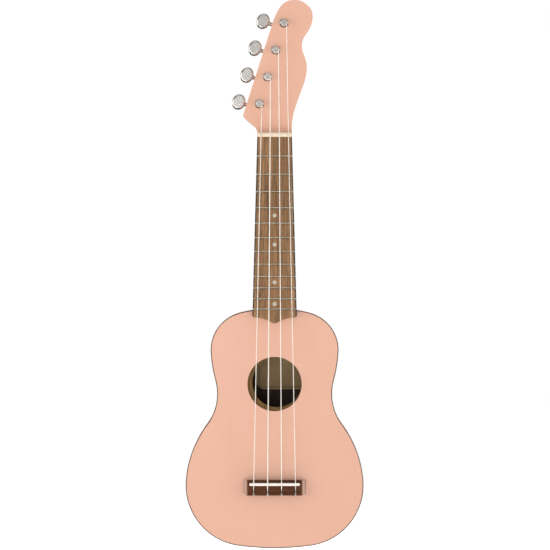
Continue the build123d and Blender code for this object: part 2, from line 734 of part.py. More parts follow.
def tuner_plate():
    """Base plate with two bearing lugs for the worm shaft."""
    middle = (TUNER_PLATE_TOP + TUNER_PLATE_BOTTOM) / 2
    length = TUNER_PLATE_TOP - TUNER_PLATE_BOTTOM
    plan = Pos(0, middle) * RectangleRounded(2 * TUNER_PLATE_HALF_W, length, TUNER_PLATE_CORNER_R)
    back = HEAD_BACK_Y + TUNER_PLATE_T
    plate = slab(plan, HEAD_BACK_Y, back)
    for sign in (-1, 1):
        inner = sign * LUG_INNER
        outer = sign * (LUG_INNER + LUG_T)
        low_z = -CENTRE_DISTANCE - LUG_HALF_W
        high_z = -CENTRE_DISTANCE + LUG_HALF_W
        lug = box(min(inner, outer), max(inner, outer), HEAD_BACK_Y, LUG_TOP_Y, low_z, high_z)
        top_edges = lug.edges().filter_by(Axis.X).group_by(Axis.Y)[-1]
        plate += fillet(top_edges, LUG_ROUND)
    plate -= rod(JOURNAL_R + RUNNING_GAP, (-9, WORM_Y, -CENTRE_DISTANCE), (9, WORM_Y, -CENTRE_DISTANCE))
    plate -= rod(POST_R + RUNNING_GAP, (0, 0, 0), (0, 40, 0))
    for z in TUNER_SCREW_ZS:
        plate -= rod(TUNER_SCREW_R, (0, 0, z), (0, 40, z))
    return plate


def tuner_screw(z):
    """Round-head screw through the base plate."""
    back = HEAD_BACK_Y + TUNER_PLATE_T
    head = rod(TUNER_SCREW_HEAD_R, (0, back, z), (0, back + 1.1, z))
    head = fillet(head.edges().filter_by(GeomType.CIRCLE).sort_by(Axis.Y)[-1], 0.8)
    head -= box(-3, 3, back + 0.7, back + 2, z - 0.25, z + 0.25)
    return head + rod(TUNER_SCREW_R, (0, back - TUNER_SCREW_LENGTH, z), (0, back, z))


def button():
    """Oval metal button with a flared collar, bored for the shaft."""
    plan = Pos(BUTTON_X, -CENTRE_DISTANCE) * Ellipse(BUTTON_HALF_LENGTH, BUTTON_HALF_W)
    disc = slab(plan, WORM_Y - BUTTON_T / 2, WORM_Y + BUTTON_T / 2)
    rims = disc.faces().filter_by(Axis.Y)
    disc = fillet(rims.edges(), BUTTON_ROUND)
    axis = Plane(origin=(0, WORM_Y, -CENTRE_DISTANCE), x_dir=(1, 0, 0), z_dir=(0, 0, 1))
    flare = Curve() + Line((COLLAR_END, 0), (COLLAR_END, COLLAR_R))
    flare += Spline((COLLAR_END, COLLAR_R), (FLARE_END, FLARE_R), tangents=((-1, 0), (-1, 0.8)))
    flare += Polyline((FLARE_END, FLARE_R), (BUTTON_X, FLARE_R), (BUTTON_X, 0), (COLLAR_END, 0))
    collar = revolve(axis * make_face(flare), Axis(axis.origin, axis.x_dir))
    piece = disc + collar
    return piece - rod(SHAFT_R, (BUTTON_BORE_END, WORM_Y, -CENTRE_DISTANCE), (0, WORM_Y, -CENTRE_DISTANCE))


def winding(note):
    """The string's turns on the post, as one ring."""
    outer = POST_WAIST_R + STRING_D[note]
    half = 1.5 * STRING_D[note]
    ring = rod(outer, (0, POST_STRING_Y - half, 0), (0, POST_STRING_Y + half, 0))
    return ring - rod(POST_WAIST_R, (0, -10, 0), (0, 10, 0))


# ---------------------------------------------------------------- strings


def string_route(index, note):
    """A string's route, from just short of its winding to its knot."""
    radius = STRING_D[note] / 2
    nut = Vector(string_x(index, NUT_SPACING, NUT_CENTRE_X), NUT_STRING_Y - radius, NUT_T / 2)
    x, z = post_place(index)
    reach = math.hypot(x - nut.X, z - nut.Z)
    wrap = POST_WAIST_R + radius
    heading = math.atan2(z - nut.Z, x - nut.X) - math.asin(wrap / reach)
    length = math.sqrt(reach**2 - wrap**2)
    run = length - STRING_SHORT_OF_WINDING
    fall = (POST_STRING_Y - nut.Y) * run / length
    start = Vector(nut.X + run * math.cos(heading), nut.Y + fall, nut.Z + run * math.sin(heading))
    x = string_x(index, SADDLE_SPACING)
    over_saddle = Vector(x, SADDLE_TOP_Y - radius - SADDLE_BREAK_RISE, SADDLE_Z - SADDLE_BREAK)
    end = Vector(x, KNOT_Y, KNOT_Z + KNOT_R * 0.6)
    return start, nut, over_saddle, end


def string(index, note):
    route = string_route(index, note)
    path = FilletPolyline(*route, radius=STRING_BENDS)
    section = Plane(origin=path @ 0, z_dir=path % 0) * Circle(STRING_D[note] / 2)
    tube = sweep(section, path)
    return tube - knot(index)


def knot(index):
    return Pos(string_x(index, SADDLE_SPACING), KNOT_Y, KNOT_Z) * Sphere(KNOT_R)


# ---------------------------------------------------------------- all the pieces


def pieces():
    """Every node of the object by name."""
    back_inner = BODY_DEPTH - PLATE_T
    nodes = {
        "soundboard": soundboard(),
        "back_plate": back_plate(),
        "side_left": side(-1),
        "side_right": side(1),
        "neck_block": neck_block(),
        "tail_block": tail_block(),
        "top_linings": linings(PLATE_T, PLATE_T + LINING_H),
        "back_linings": linings(back_inner - LINING_H, back_inner),
        "soundhole_ring": soundhole_ring(),
        "top_braces": top_braces(),
        "back_braces": back_braces(),
        "bridge_patch": bridge_patch(),
        "top_binding": binding(0, PLATE_T, "front"),
        "back_binding": binding(back_inner, BODY_DEPTH, "back"),
        "label": label(),
        "bridge": bridge(),
        "saddle": saddle(),
        "string_knots": [knot(index) for index in range(len(NOTES))],
        "neck": neck(),
        "neck_dowels": dowels(),
        "fingerboard": fingerboard(),
        "nut": nut(),
        "frets": frets(),
        "position_dots": position_dots(),
        "side_dots": side_dots(),
    }
    nodes["tuner_bushings"] = [tuner_frame(index) * bushing() for index in range(len(NOTES))]
    screws = []
    for index, note in enumerate(NOTES):
        frame = tuner_frame(index)
        nodes[f"{note}_tuner_plate"] = frame * tuner_plate()
        nodes[f"{note}_tuner_post"] = frame * post()
        nodes[f"{note}_tuner_wheel"] = frame * wheel()
        nodes[f"{note}_wheel_screw"] = frame * wheel_screw()
        nodes[f"{note}_tuner_worm"] = frame * worm()
        nodes[f"{note}_tuner_button"] = frame * button()
        nodes[f"{note}_winding"] = frame * winding(note)
        nodes[f"{note}_string"] = string(index, note)
        screws += [frame * tuner_screw(z) for z in TUNER_SCREW_ZS]
    nodes["tuner_screws"] = screws
    return nodes


def main():
    os.makedirs("parts", exist_ok=True)
    for name, shape in pieces().items():
        solids = []
        for item in shape if isinstance(shape, list) else [shape]:
            solids += item.solids()
        piece = solids[0] if len(solids) == 1 else Compound(solids)
        export_step(piece, f"parts/{name}.step")


main()
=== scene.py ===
import json
import math

import bmesh
import bpy
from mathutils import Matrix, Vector


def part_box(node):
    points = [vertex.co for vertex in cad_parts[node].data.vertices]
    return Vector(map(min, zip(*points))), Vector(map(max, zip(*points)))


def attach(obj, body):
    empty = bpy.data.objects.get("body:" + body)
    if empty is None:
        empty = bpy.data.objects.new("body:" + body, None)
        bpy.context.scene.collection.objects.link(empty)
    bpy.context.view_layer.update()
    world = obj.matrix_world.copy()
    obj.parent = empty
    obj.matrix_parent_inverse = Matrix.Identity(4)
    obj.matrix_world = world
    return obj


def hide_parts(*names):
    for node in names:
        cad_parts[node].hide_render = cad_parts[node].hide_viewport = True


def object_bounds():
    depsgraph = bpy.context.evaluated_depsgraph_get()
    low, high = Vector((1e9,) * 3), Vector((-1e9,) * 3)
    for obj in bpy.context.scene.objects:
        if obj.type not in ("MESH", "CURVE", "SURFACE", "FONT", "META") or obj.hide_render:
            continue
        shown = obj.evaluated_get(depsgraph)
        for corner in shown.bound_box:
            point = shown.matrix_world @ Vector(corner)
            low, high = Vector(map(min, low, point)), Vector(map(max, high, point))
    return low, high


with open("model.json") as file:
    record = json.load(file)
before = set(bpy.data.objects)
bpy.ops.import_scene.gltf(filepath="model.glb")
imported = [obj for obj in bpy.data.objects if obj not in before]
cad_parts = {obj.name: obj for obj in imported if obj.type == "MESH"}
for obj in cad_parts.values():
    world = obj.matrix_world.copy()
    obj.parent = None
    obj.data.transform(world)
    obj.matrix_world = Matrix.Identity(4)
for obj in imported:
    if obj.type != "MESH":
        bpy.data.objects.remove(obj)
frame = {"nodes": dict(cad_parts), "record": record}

cad_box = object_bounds()
MM = 0.001

# The strings from left to right, with their diameters
STRING_D = {"g": 0.75 * MM, "c": 1.0 * MM, "e": 0.85 * MM, "a": 0.7 * MM}
NOTES = tuple(STRING_D)
MIDDLE_STRING = (len(NOTES) - 1) / 2

# Where the strings lie on the nut and the saddle, and how far from them they start to bend
NUT_SPACING = 9.15 * MM
NUT_CENTRE_X = 0.15 * MM
NUT_STRING_Y = -6.4 * MM
NUT_BEND = 3.0 * MM
SADDLE_SPACING = 14.0 * MM
SADDLE_STRING_Y = -10.95 * MM
SADDLE_STRING_Z = -349.6 * MM
SADDLE_BEND = 1.4 * MM

# A string's way onto its post: a share of the run to the nut, then shares of the turns' radius
RUN_START = 0.08
CORNER_REACH = 0.35
LAP_REACH = 0.75
LAP_DEPTH = 0.38

# The turns on a post's waist. A smooth ring runs a little inside its points, and a turn rises
# and falls by a share of the diameter
POST_WAIST_R = 2.2 * MM
POST_STRING_Y = -1.2 * MM
TURNS = (-1, 0, 1)
RING_POINTS = 24
RING_SHRINK = 0.9935
RING_TILT = 0.15

# The end of a string, through the post's cross hole and out on the other side
POST_HOLE_Y = -3.4 * MM
STRING_END_R = 0.35 * MM
END_OUT = 0.3 * MM
END_TIP = (1.2 * MM, -0.5 * MM, 0.2 * MM)

# Knots: a trefoil, turned differently on each string, and its tail in mm, which leans by its turn
KNOT_POINTS = 36
KNOT_DEPTH = 1.6
KNOT_REACH = 3
KNOT_TURNS = (20, 200, 75, 290)
TAIL = ((0.0, 0.0, -0.3), (0.2, -0.2, -0.9), (0.7, 0.0, -1.5), (1.2, 0.6, -2.0))
TAIL_LEAN = 0.7

# Fingerboard: half its width at the nut, the length of its pointed end, how fast it widens
# towards the body, and how wide the painted shade along its edges is and how fast, per metre, it
# sets in
BOARD_LOW, BOARD_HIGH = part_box("fingerboard")
BOARD_HALF_W = 17.45 * MM
BOARD_POINT = 8.0 * MM
BOARD_TAPER = (BOARD_HIGH.x - BOARD_HALF_W) / -(BOARD_LOW.z + BOARD_POINT)
EDGE_SHADE_W = 1.9 * MM
EDGE_SHADE_RISE = 500.0

# Bridge: half the length of its level block, past which its scooped ends get a painted highlight
# and a shiny coat, and how fast, per metre, that sets in
BRIDGE_BLOCK_X = 27.0 * MM
SCOOP_HIGHLIGHT_RISE = 700.0

# Label: the printed border's distance from the edge, and half its width
BORDER_INSET = 2.4 * MM
BORDER_HALF_W = 0.25 * MM

# Shell-pink paint, its flecks and the grain that shows through it, then the colour and roughness
# of the bare wood inside the body, whose colour is darkened far below bare wood as painted shade
PINKS = ((0.772, 0.431, 0.303), (0.790, 0.442, 0.317), (0.804, 0.447, 0.328))
PINK_FLECK = (0.86, 0.56, 0.44)
PINK_GRAIN = (0.655, 0.337, 0.234)
SHADED_BODY_INSIDE = (0.085, 0.048, 0.034)
BARE_ROUGHNESS = (0.8, 0.8, 0.8)

# Wood: how fine the stripes are along the grain, as a share of across it, and how much finer
# than the fibres the pores are
STRIPE_STRETCH = 0.035
PORE_FINENESS = 3.2
PORE_SHIFT = (7, 3, 5)

# Studio. Each box: place (z from the object's middle), size, power. The room's light by height,
# from straight down to straight up
WORLD_STRENGTH = 0.66
WORLD_STOPS = ((0.38, 0.10), (0.45, 0.80), (0.50, 0.95), (0.56, 0.80), (0.66, 0.34), (1.0, 0.45))
BOXES = {
    "left_box": ((-1.50, -0.78, 0.20), (0.9, 1.2), 9.2),
    "right_box": ((1.55, -0.75, 0.12), (0.9, 1.2), 7.5),
    "front_box": ((-0.30, -2.1, -0.12), (0.4, 0.4), 3.6),
    "top_box": ((-0.2, -0.6, 1.45), (1.2, 0.8), 2.6),
    "back_box": ((0.6, 1.6, 0.8), (1.4, 1.4), 9.5),
}
BACKDROP_R = 7.0
FLOOR_GAP = 0.08
FLOOR_COLOUR = (0.86, 0.86, 0.86, 1)
FLOOR_GLOW = 0.78
WHITE = (1, 1, 1, 1)
BLACK = (0, 0, 0, 1)
CAMERA_PLACE = (0.0004, -4.0, -0.1387)
CAMERA_LENS = 260.6
CAMERA_SENSOR = 36.0


# ---------------------------------------------------------------- node helpers


class Nodes:
    """A short way to write a material's node tree."""

    def __init__(self, name):
        self.material = bpy.data.materials.new(name)
        self.material.use_nodes = True
        self.tree = self.material.node_tree
        self.tree.nodes.clear()
        self.output = self.tree.nodes.new("ShaderNodeOutputMaterial")
        self.shader = self.tree.nodes.new("ShaderNodeBsdfPrincipled")
        self.link(self.shader.outputs[0], self.output.inputs["Surface"])
        self.place = self.tree.nodes.new("ShaderNodeTexCoord").outputs["Object"]

    def link(self, source, target):
        self.tree.links.new(source, target)

    def set(self, **values):
        """Uniform values, on the shader's own sockets."""
        for name, value in values.items():
            self.shader.inputs[name.replace("_", " ")].default_value = value

    def to(self, socket, value):
        """Links a node's output to the shader."""
        self.link(value, self.shader.inputs[socket])

    def base(self):
        """What the base colour is linked to so far."""
        return self.shader.inputs["Base Color"].links[0].from_socket

    def scaled(self, scale=(1, 1, 1), offset=(0, 0, 0)):
        """Object coordinates, stretched."""
        node = self.tree.nodes.new("ShaderNodeMapping")
        node.inputs["Scale"].default_value = scale
        node.inputs["Location"].default_value = offset
        self.link(self.place, node.inputs["Vector"])
        return node.outputs[0]

    def noise(self, vector, scale, detail=3.0, roughness=0.55, distortion=0.0):
        node = self.tree.nodes.new("ShaderNodeTexNoise")
        node.inputs["Scale"].default_value = scale
        node.inputs["Detail"].default_value = detail
        node.inputs["Roughness"].default_value = roughness
        node.inputs["Distortion"].default_value = distortion
        self.link(vector, node.inputs["Vector"])
        return node.outputs[0]

    def ramp(self, value, *stops):
        """Colours (r, g, b) or plain numbers by place along the value."""
        node = self.tree.nodes.new("ShaderNodeValToRGB")
        elements = node.color_ramp.elements
        while len(elements) < len(stops):
            elements.new(0.5)
        for element, (place, colour) in zip(elements, stops):
            element.position = place
            rgb = colour if isinstance(colour, tuple) else (colour, colour, colour)
            element.color = (*rgb, 1.0)
        self.link(value, node.inputs[0])
        return node.outputs[0]

    def math(self, operation, first, second=0.0):
        node = self.tree.nodes.new("ShaderNodeMath")
        node.operation = operation
        for socket, value in zip(node.inputs, (first, second)):
            if isinstance(value, (int, float)):
                socket.default_value = value
            else:
                self.link(value, socket)
        return node.outputs[0]

    def mix(self, share, first, second):
        """Two colours mixed."""
        node = self.tree.nodes.new("ShaderNodeMix")
        node.data_type = "RGBA"
        # A colour mix has its factor, A and B at these places among its inputs
        sockets = (node.inputs[0], node.inputs[6], node.inputs[7])
        for socket, value in zip(sockets, (share, first, second)):
            if isinstance(value, tuple):
                socket.default_value = (*value, 1.0)
            elif isinstance(value, (int, float)):
                socket.default_value = value
            else:
                self.link(value, socket)
        return node.outputs[2]

    def axis(self, name):
        """One object coordinate in metres."""
        node = self.tree.nodes.new("ShaderNodeSeparateXYZ")
        self.link(self.place, node.inputs[0])
        return node.outputs[name]

    def past(self, value, start, rise):
        """How far a value is past its start, at a rate."""
        return self.math("MULTIPLY", self.math("SUBTRACT", value, start), rise)

    def outward(self, centre):
        """Below zero where the surface faces a point, as the inside of a shell round it does."""
        away = self.tree.nodes.new("ShaderNodeVectorMath")
        away.operation = "SUBTRACT"
        away.inputs[1].default_value = centre
        self.link(self.place, away.inputs[0])
        facing = self.tree.nodes.new("ShaderNodeVectorMath")
        facing.operation = "DOT_PRODUCT"
        self.link(away.outputs[0], facing.inputs[0])
        self.link(self.place.node.outputs["Normal"], facing.inputs[1])
        return facing.outputs["Value"]

    def bump(self, height, distance, strength=1.0, under=None):
        node = self.tree.nodes.new("ShaderNodeBump")
        node.inputs["Distance"].default_value = distance
        node.inputs["Strength"].default_value = strength
        self.link(height, node.inputs["Height"])
        if under is not None:
            self.link(under, node.inputs["Normal"])
        return node.outputs[0]


# ---------------------------------------------------------------- materials


def lacquer(name, shaded_inside=None):
    """Satin lacquer with a little orange peel. The inside colour is that of bare wood in the body,
    darkened as painted shade.
    """
    n = Nodes(name)
    even = n.scaled()
    cloud = n.noise(even, 7.0, detail=3.0)
    tone = n.ramp(cloud, *zip((0.3, 0.5, 0.7), PINKS))
    fleck = n.noise(even, 600.0, detail=2.0)
    tone = n.mix(n.ramp(fleck, (0.60, 0.0), (0.80, 0.14)), tone, PINK_FLECK)
    grain = n.noise(n.scaled((420, 420, 9)), 1.0, detail=2.0)
    tone = n.mix(n.ramp(grain, (0.30, 0.10), (0.48, 0.0)), tone, PINK_GRAIN)
    haze = n.noise(even, 45.0, detail=4.0)
    gloss = n.ramp(haze, (0.3, 0.34), (0.7, 0.46))
    if shaded_inside:
        low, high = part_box("back_binding")
        centre = Vector(((low.x + high.x) / 2, high.y / 2, (low.z + high.z) / 2))
        within = n.math("LESS_THAN", n.outward(centre), 0.0)
        # Faces turned into the body get bare wood darkened to near black as painted shade
        fibre = n.noise(n.scaled((700, 700, 16)), 1.0, detail=3.0)
        shaded_bare = n.ramp(fibre, (0.3, tuple(0.6 * c for c in shaded_inside)), (0.7, shaded_inside))
        tone = n.mix(within, tone, shaded_bare)
        gloss = n.mix(within, gloss, BARE_ROUGHNESS)
    n.to("Base Color", tone)
    n.to("Roughness", gloss)
    peel = n.noise(even, 520.0, detail=1.0)
    n.to("Normal", n.bump(peel, 0.00004, 0.35, n.bump(grain, 0.00006, 0.4)))
    n.set(Specular_IOR_Level=0.45)
    return n.material


def wood(name, colours, pore, across, along, stripe, roughness, depth, grain_axis="Z"):
    """Open-pored wood: broad stripes, fine fibres and dark pores. Returns its open node tree.

    Across and along are how fine the fibres are, stripe how fine the stripes are, and depth is
    that of the pores.
    """
    n = Nodes(name)
    long_stripe = stripe * STRIPE_STRETCH
    stretch = {"Z": (across, across, along), "X": (along, across, across)}[grain_axis]
    wide = {"Z": (stripe, stripe, long_stripe), "X": (long_stripe, stripe, stripe)}[grain_axis]
    broad = n.noise(n.scaled(wide), 1.0, detail=3.0, distortion=0.4)
    stops = [(0.28 + 0.44 * i / (len(colours) - 1), c) for i, c in enumerate(colours)]
    tone = n.ramp(broad, *stops)
    fibre = n.noise(n.scaled(stretch), 1.0, detail=4.0, roughness=0.7)
    tone = n.mix(n.ramp(fibre, (0.35, 0.55), (0.62, 0.0)), tone, pore)
    finer = tuple(PORE_FINENESS * s for s in stretch)
    pores = n.ramp(n.noise(n.scaled(finer, PORE_SHIFT), 1.0, detail=2.0), (0.30, 1.0), (0.40, 0.0))
    tone = n.mix(n.math("MULTIPLY", pores, 0.75), tone, tuple(0.35 * c for c in pore))
    n.to("Base Color", tone)
    n.to("Roughness", n.ramp(fibre, (0.3, roughness + 0.14), (0.7, roughness - 0.04)))
    lift = n.math("SUBTRACT", fibre, n.math("MULTIPLY", pores, 0.9))
    n.to("Normal", n.bump(lift, depth, 0.8))
    n.set(Specular_IOR_Level=0.4)
    return n


def fingerboard_wood():
    """Striped walnut with painted shade darkening its rolled edges."""
    colours = (
        (0.165, 0.076, 0.032),
        (0.330, 0.160, 0.062),
        (0.280, 0.160, 0.068),
        (0.460, 0.235, 0.098),
        (0.240, 0.125, 0.050),
        (0.410, 0.245, 0.112),
    )
    n = wood(
        "fingerboard_wood", colours, pore=(0.095, 0.045, 0.024), across=900.0, along=26.0,
        stripe=260.0, roughness=0.55, depth=0.00012,
    )
    widening = n.math("MULTIPLY", n.axis("Z"), BOARD_TAPER)
    straight = n.math("ADD", n.math("ABSOLUTE", n.axis("X")), widening)
    # Painted shade: the rolled edges darken to near black
    foxing_and_edge_shade = n.ramp(n.past(straight, BOARD_HALF_W - EDGE_SHADE_W, EDGE_SHADE_RISE), (0.25, 0.0), (0.50, 0.92))
    n.to("Base Color", n.mix(foxing_and_edge_shade, n.base(), (0.028, 0.018, 0.013)))
    return n.material


def bridge_wood():
    """Dark walnut whose scooped ends carry a painted highlight and a shiny coat."""
    colours = (
        (0.052, 0.018, 0.005),
        (0.095, 0.031, 0.007),
        (0.140, 0.044, 0.012),
        (0.084, 0.040, 0.008),
    )
    n = wood(
        "bridge_wood", colours, pore=(0.026, 0.010, 0.005), across=1000.0, along=30.0,
        stripe=260.0, roughness=0.45, depth=0.00008, grain_axis="X",
    )
    reach = n.past(n.math("ABSOLUTE", n.axis("X")), BRIDGE_BLOCK_X, SCOOP_HIGHLIGHT_RISE)
    painted_highlight = n.ramp(reach, (0.1, 0.0), (0.6, 0.85))
    # Painted highlight: the scooped ends' base colour is lightened towards pale tan in place of
    # the side lamps' reflection
    n.to("Base Color", n.mix(painted_highlight, n.base(), (0.44, 0.215, 0.125)))
    n.to("Coat Weight", n.ramp(reach, (0.0, 0.0), (0.4, 1.0)))
    n.set(Coat_Roughness=0.22, Coat_IOR=2.0, Specular_IOR_Level=0.18)
    return n.material


def binding_wood():
    """Thin dark strip."""
    colours = ((0.060, 0.032, 0.014), (0.100, 0.058, 0.026), (0.075, 0.042, 0.018))
    return wood(
        "binding", colours, pore=(0.030, 0.016, 0.008), across=900.0, along=60.0,
        stripe=60.0, roughness=0.50, depth=0.00005,
    ).material


def bare_wood():
    """Unfinished pale wood of the blocks, braces and linings."""
    colours = ((0.26, 0.165, 0.08), (0.34, 0.23, 0.12), (0.30, 0.195, 0.10))
    return wood(
        "bare_wood", colours, pore=(0.16, 0.09, 0.045), across=700.0, along=18.0,
        stripe=90.0, roughness=0.72, depth=0.00012,
    ).material


def ring_wood():
    """Unfinished olive-brown wood of the ring under the sound hole."""
    colours = ((0.165, 0.085, 0.018), (0.21, 0.112, 0.026), (0.185, 0.096, 0.021))
    return wood(
        "ring_wood", colours, pore=(0.10, 0.055, 0.018), across=700.0, along=18.0,
        stripe=90.0, roughness=0.66, depth=0.00012,
    ).material


def label_paper():
    """Cream paper with a thin printed border, foxed a little."""
    n = Nodes("label_paper")
    foxing_and_edge_shade = n.noise(n.scaled(), 60.0, detail=4.0)
    tone = n.ramp(foxing_and_edge_shade, (0.3, (0.56, 0.37, 0.19)), (0.7, (0.66, 0.45, 0.24)))
    low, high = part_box("label")
    edge = None
    for name, least, most in (("X", low.x, high.x), ("Z", low.z, high.z)):
        from_centre = n.math("ABSOLUTE", n.math("SUBTRACT", n.axis(name), (least + most) / 2))
        inward = n.math("SUBTRACT", (most - least) / 2, from_centre)
        edge = inward if edge is None else n.math("MINIMUM", edge, inward)
    border = n.math("COMPARE", edge, BORDER_INSET)
    border.node.inputs[2].default_value = BORDER_HALF_W
    n.to("Base Color", n.mix(border, tone, (0.10, 0.07, 0.05)))
    fibre = n.noise(n.scaled(), 1500.0, detail=3.0)
    n.to("Normal", n.bump(fibre, 0.00003, 0.6))
    n.to("Roughness", n.ramp(foxing_and_edge_shade, (0.3, 0.82), (0.7, 0.92)))
    return n.material


def bone(name, light, dark):
    """Cream moulded plastic with faint clouds and a soft shine."""
    n = Nodes(name)
    cloud = n.noise(n.scaled(), 260.0, detail=3.0)
    n.to("Base Color", n.ramp(cloud, (0.3, dark), (0.7, light)))
    scuff = n.noise(n.scaled((1500, 1500, 200)), 1.0, detail=2.0)
    n.to("Roughness", n.ramp(scuff, (0.35, 0.24), (0.7, 0.38)))
    n.to("Normal", n.bump(scuff, 0.00001, 0.5))
    n.set(Subsurface_Weight=0.15, Subsurface_Radius=(0.002, 0.0015, 0.001), Subsurface_Scale=0.5)
    return n.material


def inlay():
    """Pearly plastic dot."""
    n = Nodes("inlay")
    swirl = n.noise(n.scaled(), 900.0, detail=3.0, distortion=2.5)
    pearl = ((0.3, (0.42, 0.36, 0.26)), (0.55, (0.58, 0.51, 0.39)), (0.75, (0.70, 0.64, 0.52)))
    n.to("Base Color", n.ramp(swirl, *pearl))
    n.to("Roughness", n.ramp(swirl, (0.3, 0.18), (0.7, 0.30)))
    n.set(Coat_Weight=0.5, Coat_Roughness=0.1)
    return n.material


def metal(name, tint, roughness, brush=(300, 300, 300)):
    """Plated metal: cloudy polish and fine scratches, brushed finer where brush is larger."""
    n = Nodes(name)
    cloud = n.noise(n.scaled(), 160.0, detail=4.0)
    n.to("Base Color", n.ramp(cloud, (0.3, tuple(0.90 * c for c in tint)), (0.65, tint)))
    lines = n.noise(n.scaled(brush), 6.0, detail=3.0, roughness=0.7)
    n.to("Roughness", n.ramp(lines, *zip((0.3, 0.7), roughness)))
    n.to("Normal", n.bump(lines, 0.0000025, 0.5))
    n.set(Metallic=1.0)
    return n.material


def nylon():
    """Clear-white nylon monofilament."""
    n = Nodes("nylon")
    drawn = n.noise(n.scaled((2500, 2500, 120)), 1.0, detail=2.0)
    n.to("Base Color", n.ramp(drawn, (0.3, (0.93, 0.86, 0.76)), (0.7, (0.98, 0.94, 0.87))))
    n.to("Roughness", n.ramp(drawn, (0.3, 0.20), (0.7, 0.34)))
    n.set(Subsurface_Weight=0.2, Subsurface_Radius=(0.001, 0.001, 0.0008), Subsurface_Scale=0.4)
    n.set(IOR=1.55, Specular_IOR_Level=0.7)
    return n.material


# By material slot, and for the nodes that have their own
MATERIALS = {
    "pink_paint": lacquer("pink_paint"),
    "fingerboard_wood": fingerboard_wood(),
    "bridge_wood": bridge_wood(),
    "binding": binding_wood(),
    "bare_wood": bare_wood(),
    "label_paper": label_paper(),
    "bone_plastic": bone("bone_plastic", light=(0.95, 0.80, 0.61), dark=(0.90, 0.74, 0.55)),
    "inlay": inlay(),
    "fret_metal": metal("fret_metal", (0.76, 0.68, 0.54), (0.24, 0.40), brush=(60, 900, 900)),
    "nickel": metal("nickel", (0.82, 0.78, 0.74), (0.14, 0.27)),
    "brass": metal("brass", (0.72, 0.52, 0.24), (0.22, 0.40)),
    "nylon": nylon(),
}
SHELL = lacquer("pink_shell", shaded_inside=SHADED_BODY_INSIDE)
OWN_MATERIAL = {
    "soundboard": SHELL,
    "back_plate": SHELL,
    "side_left": SHELL,
    "side_right": SHELL,
    "soundhole_ring": ring_wood(),
    "saddle": bone("saddle_plastic", light=(0.97, 0.92, 0.84), dark=(0.93, 0.87, 0.77)),
}


def dress_frame():
    """Gives each CAD node its slot's material, or its own."""
    slots = {part["node"]: part["material_slot"] for part in frame["record"]["subparts"]}
    for name, node in frame["nodes"].items():
        node.data.materials.clear()
        node.data.materials.append(OWN_MATERIAL.get(name, MATERIALS[slots[name]]))


# ---------------------------------------------------------------- strings


def tube_mesh(name, points, radius, cyclic=False):
    """A round tube along a smooth curve through the points' neighbourhood."""
    curve = bpy.data.curves.new(name, "CURVE")
    curve.dimensions = "3D"
    curve.bevel_depth = radius
    curve.bevel_resolution = 4
    curve.resolution_u = 6
    curve.use_fill_caps = not cyclic
    spline = curve.splines.new("NURBS")
    spline.points.add(len(points) - 1)
    for point, place in zip(spline.points, points):
        point.co = (*place, 1)
    spline.use_cyclic_u = cyclic
    spline.use_endpoint_u = not cyclic
    spline.order_u = 3
    holder = bpy.data.objects.new(name, curve)
    mesh = bpy.data.meshes.new_from_object(holder)
    bpy.data.objects.remove(holder)
    return mesh


def joined(name, meshes):
    """Several meshes as one nylon piece, smooth shaded."""
    whole = bmesh.new()
    for mesh in meshes:
        whole.from_mesh(mesh)
    data = bpy.data.meshes.new(name)
    whole.to_mesh(data)
    whole.free()
    data.shade_smooth()
    data.materials.append(MATERIALS["nylon"])
    piece = bpy.data.objects.new(name, data)
    bpy.context.scene.collection.objects.link(piece)
    return piece


def stands_for(piece, body, node):
    """A nylon piece in place of a CAD node, on that node's body."""
    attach(piece, body)
    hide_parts(node)


def string_x(index, spacing):
    """How far to the right of the middle a string lies."""
    return (index - MIDDLE_STRING) * spacing


def wrap_radius(note):
    """From the post's axis to the middle of a string wound on its waist."""
    return POST_WAIST_R + STRING_D[note] / 2


def post_axis(note):
    """Where a post's axis crosses y = 0."""
    low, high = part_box(note + "_tuner_post")
    return Vector(((low.x + high.x) / 2, 0, (low.z + high.z) / 2))


def string_line(index, note):
    """From its turns on the post over the nut and the saddle, down to its knot."""
    radius = STRING_D[note] / 2
    nut_x = NUT_CENTRE_X + string_x(index, NUT_SPACING)
    nut = Vector((nut_x, NUT_STRING_Y - radius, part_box("nut")[1].z / 2))
    # The straight run from the nut touches the turns' circle on the post
    post = post_axis(note)
    reach = math.hypot(post.x - nut.x, post.z - nut.z)
    wrap = wrap_radius(note)
    heading = math.atan2(post.z - nut.z, post.x - nut.x) - math.asin(wrap / reach)
    run = math.sqrt(reach**2 - wrap**2)
    away = Vector((math.cos(heading), 0, math.sin(heading)))
    touch = nut + away * run
    touch.y = POST_STRING_Y
    # The last stretch goes on round the post, inside the middle turn
    corner = touch + away * CORNER_REACH * wrap
    bend = Vector((-away.z, 0, away.x)) * wrap
    lap = post - bend + Vector((0, POST_STRING_Y, 0)) + away * wrap * LAP_REACH + bend * LAP_DEPTH
    x = string_x(index, SADDLE_SPACING)
    saddle = Vector((x, SADDLE_STRING_Y - radius, SADDLE_STRING_Z))
    low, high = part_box("string_knots")
    knot = Vector((x, (low.y + high.y) / 2, (low.z + high.z) / 2))
    to_post = (touch - nut).normalized()
    to_saddle = (saddle - nut).normalized()
    to_knot = (knot - saddle).normalized()
    points = [lap, corner, touch.lerp(nut, RUN_START)]
    points += [nut + to_post * NUT_BEND, nut, nut + to_saddle * NUT_BEND]
    points += [saddle - to_saddle * SADDLE_BEND, saddle, saddle + to_knot * SADDLE_BEND, knot]
    name = note + "_string_line"
    piece = joined(name, [tube_mesh(name, points, radius)])
    stands_for(piece, "instrument", note + "_string")


